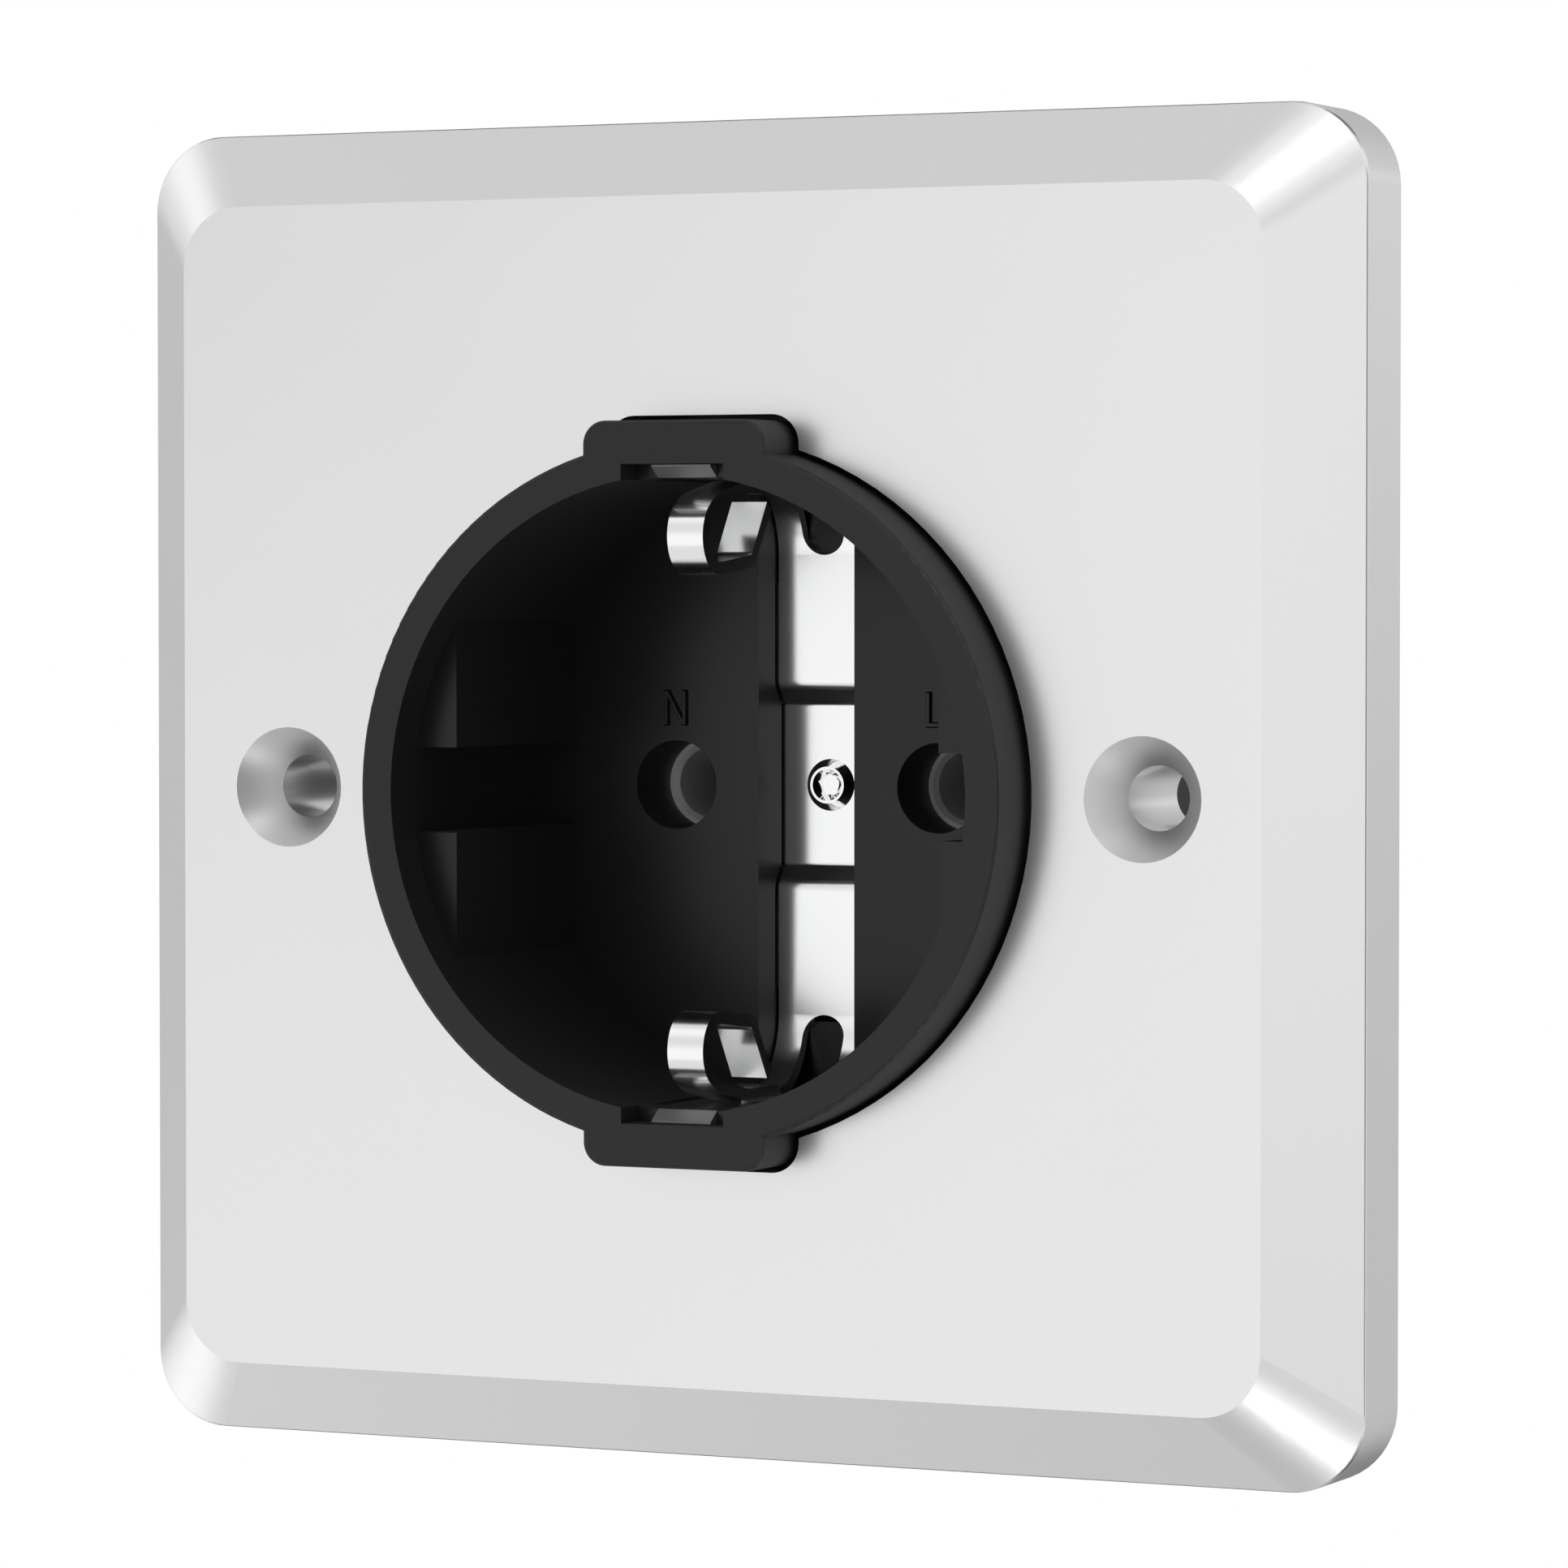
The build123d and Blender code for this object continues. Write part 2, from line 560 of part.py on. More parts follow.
def make_tag():
    """Flat ring tongue of the plate earth terminal."""
    outline = Pos(0, -TAG_Z) * Circle(TAG_R)
    outline += Pos(TAG_REACH / 2, -TAG_Z) * Rectangle(TAG_REACH, 2 * TAG_TAIL_HALF)
    tag = prism(outline, FLANGE_FRONT, FLANGE_FRONT + TAG)
    return tag - rod(0, -TAG_Z, INSERT_SCREW_R, FLANGE_FRONT, FLANGE_FRONT + TAG)


def make_washer():
    """Plain washer between tag and screw head."""
    front = FLANGE_FRONT + TAG
    back = front + WASHER
    return rod(0, -TAG_Z, WASHER_R, front, back) - rod(0, -TAG_Z, INSERT_SCREW_R, front, back)


def make_tag_screw():
    """Screw of the plate earth terminal."""
    seat = FLANGE_FRONT + TAG + WASHER
    length = TAG + WASHER + INSERT_BITE
    return pan_screw(0, -TAG_Z, INSERT_HEAD_R, INSERT_HEAD_H, INSERT_SCREW_R, seat, length)


def main():
    """Build every piece and write it to its own file."""
    os.makedirs("parts", exist_ok=True)
    pieces = {
        "faceplate": make_faceplate(),
        "socket_insert": make_insert(),
        "earth_strap": make_strap(),
        "strap_screw": make_strap_screw(),
        "earth_link": make_link(),
        "earth_clamp": make_clamp(0),
        "earth_clamp_screw": make_clamp_screw(0),
        "line_contact": make_contact(1),
        "line_spring": make_spring(1),
        "line_clamp": make_clamp(PIN_X),
        "line_clamp_screw": make_clamp_screw(PIN_X),
        "neutral_contact": make_contact(-1),
        "neutral_spring": make_spring(-1),
        "neutral_clamp": make_clamp(-PIN_X),
        "neutral_clamp_screw": make_clamp_screw(-PIN_X),
        "base_housing": make_base(),
        "base_screws": make_base_screws(),
        "insert_screws": make_insert_screws(),
        "plate_earth_tag": make_tag(),
        "plate_earth_washer": make_washer(),
        "plate_earth_screw": make_tag_screw(),
    }
    for name, shape in pieces.items():
        export_step(shape, f"parts/{name}.step")


main()
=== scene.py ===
"""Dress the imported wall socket: finishes, moulded letters, threaded screws, studio light and camera."""

import json
import logging
import math
from collections.abc import Sequence
from dataclasses import dataclass
from enum import Enum

import bpy
import numpy as np
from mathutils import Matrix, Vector


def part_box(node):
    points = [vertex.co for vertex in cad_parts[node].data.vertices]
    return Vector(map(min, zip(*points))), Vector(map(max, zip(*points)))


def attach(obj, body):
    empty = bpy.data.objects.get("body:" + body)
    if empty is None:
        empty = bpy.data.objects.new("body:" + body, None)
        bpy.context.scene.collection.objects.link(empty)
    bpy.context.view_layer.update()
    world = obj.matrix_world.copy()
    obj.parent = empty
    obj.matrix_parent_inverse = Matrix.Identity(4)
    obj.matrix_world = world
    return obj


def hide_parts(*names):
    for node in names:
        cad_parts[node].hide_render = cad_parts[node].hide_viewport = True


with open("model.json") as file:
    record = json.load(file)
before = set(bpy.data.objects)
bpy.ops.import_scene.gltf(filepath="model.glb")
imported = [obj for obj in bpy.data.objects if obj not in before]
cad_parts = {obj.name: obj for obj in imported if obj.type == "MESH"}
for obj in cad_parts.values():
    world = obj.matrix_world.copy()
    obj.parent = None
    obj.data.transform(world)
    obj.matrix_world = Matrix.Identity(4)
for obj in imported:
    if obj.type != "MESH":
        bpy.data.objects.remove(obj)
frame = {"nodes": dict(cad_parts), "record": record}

LOG = logging.getLogger("socket")
MM = 0.001
BODY = "root"
SHARP_EDGE = math.radians(38.0)
NEAR_ZERO = 1e-9

MOUNTS = {mount["name"]: mount for mount in frame["record"]["mounts"]}
FIXING = MOUNTS["fixing_screws"]["dims"]
PIN_X = MOUNTS["line_pin"]["pos_m"][0]
PLATE_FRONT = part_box("faceplate")[0][1]
STRAP_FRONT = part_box("earth_strap")[0][1]
STRAP_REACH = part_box("earth_strap")[1][2]
INSERT_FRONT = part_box("socket_insert")[0][1]
HOUSING_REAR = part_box("base_housing")[1][1]

Colour = tuple[float, float, float]
Direction = tuple[float, float, float]
Outline = tuple[tuple[float, float], ...]


class Slot(Enum):
    """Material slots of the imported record."""

    PLATE = "satin_metal"
    PLASTIC = "black_plastic"
    STRAP = "plated_strip"
    POLISHED = "polished_screw"
    BRASS = "brass"
    CONTACT = "tinned_contact"
    SPRING = "spring_steel"
    ZINC = "zinc_steel"


class Layout(Enum):
    """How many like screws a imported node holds."""

    SINGLE = 1
    FOUR = 4


class Facing(Enum):
    """Side of the socket that a moulded sign is read from."""

    FRONT = -1.0
    REAR = 1.0


def grey(level: float) -> Colour:
    """Give the neutral colour of a level."""
    return (level, level, level)


def add_node(tree: bpy.types.NodeTree, kind: str, **settings: object) -> bpy.types.Node:
    """Add a node and set its plain properties.

    Args:
        tree: node tree that takes the node.
        kind: Blender's name of the node type.
        settings: properties of the node and their values.

    Returns:
        The new node.
    """
    node = tree.nodes.new(kind)
    for key, value in settings.items():
        setattr(node, key, value)
    return node


def add_step(
    group: bpy.types.NodeTree, value: bpy.types.NodeSocket, low: float, high: float
) -> bpy.types.NodeSocket:
    """Add a ramp from nought at one value to one at another.

    Args:
        group: tree that takes the ramp.
        value: socket that is compared.
        low: value where the ramp gives nought.
        high: value where the ramp gives one.

    Returns:
        The socket that the ramp puts out.
    """
    ramp = add_node(group, "ShaderNodeMapRange")
    ramp.inputs["From Min"].default_value = low
    ramp.inputs["From Max"].default_value = high
    group.links.new(value, ramp.inputs["Value"])
    return ramp.outputs["Result"]


@dataclass(frozen=True)
class GrainGroup:
    """Fine surface grain with slow patches of tone and gloss, shared by every finish."""

    name: str = "surface_grain"
    detail: float = 3.0
    inputs: tuple[str, ...] = ("Grain Scale", "Patch Scale", "Roughness Low", "Roughness High")
    outputs: tuple[str, ...] = ("Height", "Patch", "Roughness")

    def build(self) -> bpy.types.NodeTree:
        """Build the group: fine noise gives the height, slow noise the patches of tone and gloss.

        Returns:
            A group with outputs Height, Patch and Roughness.
        """
        group = bpy.data.node_groups.new(self.name, "ShaderNodeTree")
        for side, names in (("INPUT", self.inputs), ("OUTPUT", self.outputs)):
            for name in names:
                group.interface.new_socket(name=name, in_out=side, socket_type="NodeSocketFloat")
        start = add_node(group, "NodeGroupInput")
        end = add_node(group, "NodeGroupOutput")
        place = add_node(group, "ShaderNodeTexCoord")
        fine = add_node(group, "ShaderNodeTexNoise")
        slow = add_node(group, "ShaderNodeTexNoise")
        for noise, scale in ((fine, "Grain Scale"), (slow, "Patch Scale")):
            noise.inputs["Detail"].default_value = self.detail
            group.links.new(place.outputs["Object"], noise.inputs["Vector"])
            group.links.new(start.outputs[scale], noise.inputs["Scale"])
        spread = add_node(group, "ShaderNodeMapRange")
        group.links.new(slow.outputs["Fac"], spread.inputs["Value"])
        group.links.new(start.outputs["Roughness Low"], spread.inputs["To Min"])
        group.links.new(start.outputs["Roughness High"], spread.inputs["To Max"])
        group.links.new(fine.outputs["Fac"], end.inputs["Height"])
        group.links.new(slow.outputs["Fac"], end.inputs["Patch"])
        group.links.new(spread.outputs["Result"], end.inputs["Roughness"])
        return group


@dataclass(frozen=True)
class MaskGroup:
    """Mask of the cut places of a piece where painted shade darkens the finish, found by where they lie,
    sizes in metres.
    """

    name: str
    blend: float

    def ramps(
        self, group: bpy.types.NodeTree, place: bpy.types.NodeSocket
    ) -> tuple[bpy.types.NodeSocket, ...]:
        """Give the bounds of the cut places; each kind of cut has its own."""
        raise NotImplementedError

    def build(self) -> bpy.types.NodeTree:
        """Build the group: the mask is the product of the ramps that bound the cut places.

        Returns:
            A group with output Mask, one on the cut places and nought elsewhere.
        """
        group = bpy.data.node_groups.new(self.name, "ShaderNodeTree")
        group.interface.new_socket(name="Mask", in_out="OUTPUT", socket_type="NodeSocketFloat")
        end = add_node(group, "NodeGroupOutput")
        place = add_node(group, "ShaderNodeTexCoord")
        mask, *others = self.ramps(group, place.outputs["Object"])
        for ramp in others:
            product = add_node(group, "ShaderNodeMath", operation="MULTIPLY")
            group.links.new(mask, product.inputs[0])
            group.links.new(ramp, product.inputs[1])
            mask = product.outputs["Value"]
        group.links.new(mask, end.inputs["Mask"])
        return group


@dataclass(frozen=True)
class TipGroup(MaskGroup):
    """Mask of the sheared and bevelled front ends of the earth strap, which are darkened with painted shade.
    """

    name: str = "painted_shade_tips"
    blend: float = 0.05 * MM
    depth: float = 0.95 * MM
    gauge: float = 0.8 * MM

    def ramps(
        self, group: bpy.types.NodeTree, place: bpy.types.NodeSocket
    ) -> tuple[bpy.types.NodeSocket, ...]:
        """Bound the ends: a bevel's depth behind the strap's front and a gauge inside its outer faces.

        Args:
            group: tree that takes the ramps.
            place: socket of the place on the strap.

        Returns:
            One ramp for each bound.
        """
        split = add_node(group, "ShaderNodeSeparateXYZ")
        away = add_node(group, "ShaderNodeMath", operation="ABSOLUTE")
        group.links.new(place, split.inputs["Vector"])
        group.links.new(split.outputs["Z"], away.inputs[0])
        layer = STRAP_FRONT + self.depth
        inner = STRAP_REACH - self.gauge
        return (
            add_step(group, split.outputs["Y"], layer + self.blend, layer),
            add_step(group, away.outputs["Value"], inner - self.blend, inner),
        )


@dataclass(frozen=True)
class SinkGroup(MaskGroup):
    """Mask of the two cones cut into the plate for its fixing screws, darkened partly as a machined finish
    and partly with painted shade.
    """

    name: str = "machined_sinks_painted_shade"
    blend: float = 0.04 * MM
    pitch: float = FIXING["spacing_x_mm"] * MM
    hole_r: float = FIXING["hole_r_mm"] * MM
    sink_r: float = 3.92 * MM
    sink_depth: float = 2.8 * MM

    def ramps(
        self, group: bpy.types.NodeTree, place: bpy.types.NodeSocket
    ) -> tuple[bpy.types.NodeSocket, ...]:
        """Bound the cones: outside the bore, inside the rim and no deeper than the cone.

        Args:
            group: tree that takes the ramps.
            place: socket of the place on the plate.

        Returns:
            One ramp for each bound.
        """
        split = add_node(group, "ShaderNodeSeparateXYZ")
        fold = add_node(group, "ShaderNodeVectorMath", operation="ABSOLUTE")
        shift = add_node(group, "ShaderNodeVectorMath", operation="SUBTRACT")
        shift.inputs[1].default_value = (self.pitch / 2.0, 0.0, 0.0)
        flat = add_node(group, "ShaderNodeVectorMath", operation="MULTIPLY")
        flat.inputs[1].default_value = (1.0, 0.0, 1.0)
        radius = add_node(group, "ShaderNodeVectorMath", operation="LENGTH")
        group.links.new(place, split.inputs["Vector"])
        group.links.new(place, fold.inputs[0])
        group.links.new(fold.outputs["Vector"], shift.inputs[0])
        group.links.new(shift.outputs["Vector"], flat.inputs[0])
        group.links.new(flat.outputs["Vector"], radius.inputs[0])
        bottom = PLATE_FRONT + self.sink_depth
        return (
            add_step(group, radius.outputs["Value"], self.hole_r, self.hole_r + self.blend),
            add_step(group, radius.outputs["Value"], self.sink_r, self.sink_r - self.blend),
            add_step(group, split.outputs["Y"], bottom + self.blend, bottom),
        )


@dataclass(frozen=True)
class Finish:
    """One procedural finish: a Principled surface with tone, gloss and grain from the shared group."""

    name: str
    colour: Colour
    shade: Colour
    metallic: float
    roughness: tuple[float, float]
    grain_scale: float
    grain_depth: float
    patch_scale: float = 60.0
    bump_strength: float = 0.2
    specular: float = 0.5
    slant_roughness: float = 0.0

    def dull_slants(
        self, tree: bpy.types.NodeTree, roughness: bpy.types.NodeSocket
    ) -> bpy.types.NodeSocket:
        """Raise the roughness where the surface is seen at a slant.

        Args:
            tree: node tree of the material.
            roughness: socket of the roughness seen straight on.

        Returns:
            The socket of the raised roughness.
        """
        slant = add_node(tree, "ShaderNodeLayerWeight")
        duller = add_node(tree, "ShaderNodeMath", operation="MULTIPLY_ADD")
        duller.inputs[1].default_value = self.slant_roughness
        tree.links.new(slant.outputs["Facing"], duller.inputs[0])
        tree.links.new(roughness, duller.inputs[2])
        return duller.outputs["Value"]

    def build(self, grain: bpy.types.NodeTree) -> bpy.types.Material:
        """Make the material.

        Args:
            grain: the shared grain group.

        Returns:
            The material of this finish.
        """
        material = bpy.data.materials.new(self.name)
        material.use_nodes = True
        tree = material.node_tree
        surface = tree.nodes["Principled BSDF"]
        surface.inputs["Metallic"].default_value = self.metallic
        surface.inputs["Specular IOR Level"].default_value = self.specular
        texture = add_node(tree, "ShaderNodeGroup", node_tree=grain)
        texture.inputs["Grain Scale"].default_value = self.grain_scale
        texture.inputs["Patch Scale"].default_value = self.patch_scale
        texture.inputs["Roughness Low"].default_value = self.roughness[0]
        texture.inputs["Roughness High"].default_value = self.roughness[1]
        tone = add_node(tree, "ShaderNodeMix", data_type="RGBA")
        tone.inputs["A"].default_value = (*self.shade, 1.0)
        tone.inputs["B"].default_value = (*self.colour, 1.0)
        tree.links.new(texture.outputs["Patch"], tone.inputs["Factor"])
        tree.links.new(tone.outputs["Result"], surface.inputs["Base Color"])
        gloss = texture.outputs["Roughness"]
        if self.slant_roughness > 0.0:
            gloss = self.dull_slants(tree, gloss)
        tree.links.new(gloss, surface.inputs["Roughness"])
        bump = add_node(tree, "ShaderNodeBump")
        bump.inputs["Strength"].default_value = self.bump_strength
        bump.inputs["Distance"].default_value = self.grain_depth
        tree.links.new(texture.outputs["Height"], bump.inputs["Height"])
        tree.links.new(bump.outputs["Normal"], surface.inputs["Normal"])
        return material


@dataclass(frozen=True)
class ShadedCutFinish(Finish):
    """A finish whose cut places are duller and darker than the rest: painted shade, with a machined finish on
    the plate's sinks as well.
    """

    # Darker tone over the cut places is painted shade; on the plate's sinks it is partly a machined finish
    # too.
    cut: MaskGroup = SinkGroup()
    shaded_cut_colour: Colour = grey(0.72)
    cut_roughness: float = 0.40

    def build(self, grain: bpy.types.NodeTree) -> bpy.types.Material:
        """Make the material and lay the painted shade of the cut places over it.

        Args:
            grain: the shared grain group.

        Returns:
            The material of this finish.
        """
        material = super().build(grain)
        tree = material.node_tree
        surface = tree.nodes["Principled BSDF"]
        shaded_cuts = add_node(tree, "ShaderNodeGroup", node_tree=self.cut.build())
        tone = add_node(tree, "ShaderNodeMix", data_type="RGBA")
        tone.inputs["B"].default_value = (*self.shaded_cut_colour, 1.0)
        gloss = add_node(tree, "ShaderNodeMix", data_type="FLOAT")
        gloss.inputs["B"].default_value = self.cut_roughness
        for mix, socket in ((tone, surface.inputs["Base Color"]), (gloss, surface.inputs["Roughness"])):
            tree.links.new(shaded_cuts.outputs["Mask"], mix.inputs["Factor"])
            tree.links.new(socket.links[0].from_socket, mix.inputs["A"])
            tree.links.new(mix.outputs["Result"], socket)
        return material


FINISHES: dict[Slot, Finish] = {
    # The plate's countersinks are darker and duller: partly a machined finish, partly painted shade in the
    # recesses.
    Slot.PLATE: ShadedCutFinish(
        "satin_metal_finish", grey(0.825), grey(0.80), metallic=1.0, roughness=(0.278, 0.315),
        grain_scale=3000.0, grain_depth=0.006 * MM,
    ),
    Slot.PLASTIC: Finish(
        "black_plastic_finish", grey(0.005), grey(0.003), metallic=0.0, roughness=(0.21, 0.27),
        grain_scale=5000.0, grain_depth=0.01 * MM, specular=0.39, slant_roughness=0.55,
    ),
    # The strap's front ends are painted dark grey: painted shade on the ends that sit in the collar's
    # notches.
    Slot.STRAP: ShadedCutFinish(
        "plated_strip_finish", (0.95, 0.955, 0.955), (0.92, 0.925, 0.925), metallic=1.0,
        roughness=(0.16, 0.21), grain_scale=1500.0, grain_depth=0.004 * MM,
        cut=TipGroup(), shaded_cut_colour=grey(0.24), cut_roughness=0.55,
    ),
    Slot.POLISHED: Finish(
        "polished_screw_finish", grey(0.93), grey(0.90), metallic=1.0, roughness=(0.04, 0.08),
        grain_scale=1500.0, grain_depth=0.002 * MM,
    ),
    Slot.BRASS: Finish(
        "brass_finish", (0.80, 0.60, 0.27), (0.72, 0.51, 0.20), metallic=1.0, roughness=(0.22, 0.34),
        grain_scale=2000.0, grain_depth=0.01 * MM,
    ),
    Slot.CONTACT: Finish(
        "tinned_contact_finish", grey(0.80), grey(0.70), metallic=0.5, roughness=(0.30, 0.40),
        grain_scale=2000.0, grain_depth=0.006 * MM,
    ),
    Slot.SPRING: Finish(
        "spring_steel_finish", (0.52, 0.52, 0.54), (0.44, 0.44, 0.46), metallic=1.0, roughness=(0.25, 0.35),
        grain_scale=2000.0, grain_depth=0.01 * MM,
    ),
    Slot.ZINC: Finish(
        "zinc_steel_finish", (0.68, 0.70, 0.72), (0.60, 0.61, 0.60), metallic=1.0, roughness=(0.24, 0.38),
        grain_scale=2500.0, grain_depth=0.01 * MM,
    ),
}


class Palette:
    """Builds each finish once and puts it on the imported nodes."""

    def __init__(self) -> None:
        """Build the shared grain and every finish."""
        grain = GrainGroup().build()
        self.materials = {slot: finish.build(grain) for slot, finish in FINISHES.items()}

    def dress_nodes(self) -> None:
        """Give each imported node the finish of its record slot."""
        for name, node in frame["nodes"].items():
            slot = Slot(node.material_slots[0].material.name)
            node.material_slots[0].material = self.materials[slot]
            LOG.info("node %s takes %s", name, slot.value)

    def dress_piece(self, piece: bpy.types.Object, slot: Slot) -> None:
        """Give a new piece the finish of a slot.

        Args:
            piece: the new piece.
            slot: record slot whose finish it takes.
        """
        piece.data.materials.append(self.materials[slot])


@dataclass
class Shape:
    """Points of closed surfaces, in metres, and their faces in blocks of one count of corners each."""

    points: np.ndarray
    faces: list[np.ndarray]

    @classmethod
    def tube(cls, rings: np.ndarray) -> "Shape":
        """Skin a row of rings: quads between neighbours, and one face on each end ring.

        Args:
            rings: points, as an array of rings by points by 3. Each ring runs right-handed about the
                way from the first ring to the last, which turns the faces outwards.

        Returns:
            The closed tube.
        """
        count, around = rings.shape[:2]
        row, column = np.meshgrid(np.arange(count - 1), np.arange(around), indexing="ij")
        here = (row * around + column).ravel()
        beside = (row * around + (column + 1) % around).ravel()
        quads = np.stack((here, beside, beside + around, here + around), axis=1)
        first = np.arange(around)
        caps = np.stack((first[::-1], first + (count - 1) * around))
        return cls(rings.reshape(-1, 3), [quads, caps])

    @classmethod
    def joined(cls, shapes: Sequence["Shape"]) -> "Shape":
        """Put several shapes into one, with each one's corner numbers moved past those before it.

        Args:
            shapes: the shapes, in order.

        Returns:
            One shape that holds them all.
        """
        starts = np.cumsum([0] + [len(shape.points) for shape in shapes])
        points = np.concatenate([shape.points for shape in shapes])
        return cls(points, [block + start for shape, start in zip(shapes, starts) for block in shape.faces])

    def to_piece(self, name: str) -> bpy.types.Object:
        """Put the shape into a mesh object that rides on the socket.

        Args:
            name: name of the piece.

        Returns:
            The object, at the origin.
        """
        faces = [face for block in self.faces for face in block.tolist()]
        mesh = bpy.data.meshes.new(name)
        mesh.from_pydata(self.points.tolist(), [], faces)
        mesh.polygons.foreach_set("use_smooth", np.ones(len(mesh.polygons), dtype=bool))
        mesh.set_sharp_from_angle(angle=SHARP_EDGE)
        piece = bpy.data.objects.new(name, mesh)
        bpy.context.scene.collection.objects.link(piece)
        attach(piece, BODY)
        LOG.info("piece %s has %d faces", name, len(faces))
        return piece


@dataclass(frozen=True)
class PanScrew:
    """Pan head screw with a cross recess, driven towards the front, sizes in metres."""

    head_r: float
    head_h: float
    shank_r: float
    length: float
    pitch: float = 1.0 * MM
    thread_depth: float = 0.3 * MM
    cross_arms: int = 4
    cross_reach: float = 1.55 * MM
    cross_half: float = 0.42 * MM
    cross_depth: float = 1.0 * MM
    cross_taper: float = 0.55
    tip: float = 1.2 * MM
    tip_share: float = 0.55
    dome_rings: int = 10
    rings_per_turn: int = 8
    steps_on_end: int = 5
    steps_on_flank: int = 7

    @property
    def arm_turn(self) -> float:
        """Give the turn from one arm of the cross to the next."""
        return 2.0 * math.pi / self.cross_arms

    def angles(self) -> np.ndarray:
        """Give the angles round the head, with every corner of the cross among them.

        Returns:
            Angles in radians, one turn.
        """
        corner = math.atan2(self.cross_half, self.cross_reach)
        inner = self.arm_turn / 2.0
        end = np.linspace(-corner, corner, self.steps_on_end, endpoint=False)
        flank = np.linspace(corner, inner, self.steps_on_flank, endpoint=False)
        other = np.linspace(inner, self.arm_turn - corner, self.steps_on_flank, endpoint=False)
        arm = np.concatenate((end, flank, other))
        return (self.arm_turn * np.arange(self.cross_arms)[:, None] + arm).ravel()

    def cross_outline(self, angle: np.ndarray) -> np.ndarray:
        """Give the radius of the cross: the nearer of an arm's end and its flank.

        Args:
            angle: angles round the head.

        Returns:
            Radius of the outline at each angle.
        """
        inner = self.arm_turn / 2.0
        turn = np.abs((angle + inner) % self.arm_turn - inner)
        end = self.cross_reach / np.cos(turn)
        flank = self.cross_half / np.maximum(np.sin(turn), NEAR_ZERO)
        return np.minimum(end, flank)

    def build(self) -> Shape:
        """Build the screw as rings from the recess floor, over the head and down the thread.

        The head follows a rounded square: radius R sqrt(sin t), height H sqrt(cos t). The thread's
        radius is a triangle wave of depth over turns along the shank minus the turn round it.

        Returns:
            The screw with its seat at height zero and its axis along Y.
        """
        angle = self.angles()
        cross = self.cross_outline(angle)
        start = np.arcsin((cross / self.head_r) ** 2)
        share = np.linspace(0.0, 1.0, self.dome_rings)[:, None]
        sweep = start + (math.pi / 2.0 - start) * share
        dome_r = self.head_r * np.sqrt(np.sin(sweep))
        dome_h = self.head_h * np.sqrt(np.maximum(np.cos(sweep), 0.0))
        floor_r = (cross * self.cross_taper)[None, :]
        floor_h = np.full_like(floor_r, self.head_h - self.cross_depth)
        along = np.linspace(0.0, self.length, int(self.length / self.pitch * self.rings_per_turn))[:, None]
        phase = (along / self.pitch - angle / (2.0 * math.pi)) % 1.0
        wave = 1.0 - np.abs(2.0 * phase - 1.0)
        point = np.clip((along - self.length + self.tip) / self.tip, 0.0, 1.0)
        shank_r = (self.shank_r - self.thread_depth * wave) * (1.0 - (1.0 - self.tip_share) * point)
        radius = np.concatenate((floor_r, dome_r, shank_r))
        height = np.concatenate((floor_h, dome_h, np.broadcast_to(-along, shank_r.shape)))
        return Shape.tube(np.stack((radius * np.cos(angle), height, radius * np.sin(angle)), axis=2))


@dataclass(frozen=True)
class ScrewSet:
    """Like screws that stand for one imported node, placed by that node's box."""

    node: str
    piece: str
    layout: Layout
    head_h: float
    head_r: float = 2.7 * MM
    shank_r: float = 1.4 * MM

    def build(self, palette: Palette) -> bpy.types.Object:
        """Build the screws at their places and let them stand for their node.

        The box of four mirrored screws reaches a head radius past their axes, and the rear of any
        box lies a head height behind the seat.

        Args:
            palette: finishes of the socket.

        Returns:
            The piece that holds all the screws of the set.
        """
        low, high = (np.array(corner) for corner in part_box(self.node))
        seat = high[1] - self.head_h
        screw = PanScrew(self.head_r, self.head_h, self.shank_r, seat - low[1]).build()
        if self.layout is Layout.SINGLE:
            middle = (low + high) / 2.0
            places = [(middle[0], seat, middle[2])]
        else:
            x, z = high[0] - self.head_r, high[2] - self.head_r
            places = [(side * x, seat, end * z) for side in (-1.0, 1.0) for end in (-1.0, 1.0)]
        copies = [Shape(screw.points + np.array(place), screw.faces) for place in places]
        piece = Shape.joined(copies).to_piece(self.piece)
        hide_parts(self.node)
        palette.dress_piece(piece, Slot.ZINC)
        return piece


SCREWS = (
    ScrewSet("base_screws", "housing_screws", Layout.FOUR, 1.9 * MM),
    ScrewSet("insert_screws", "flange_screws", Layout.FOUR, 1.6 * MM),
    ScrewSet("plate_earth_screw", "earth_tag_screw", Layout.SINGLE, 1.6 * MM),
)


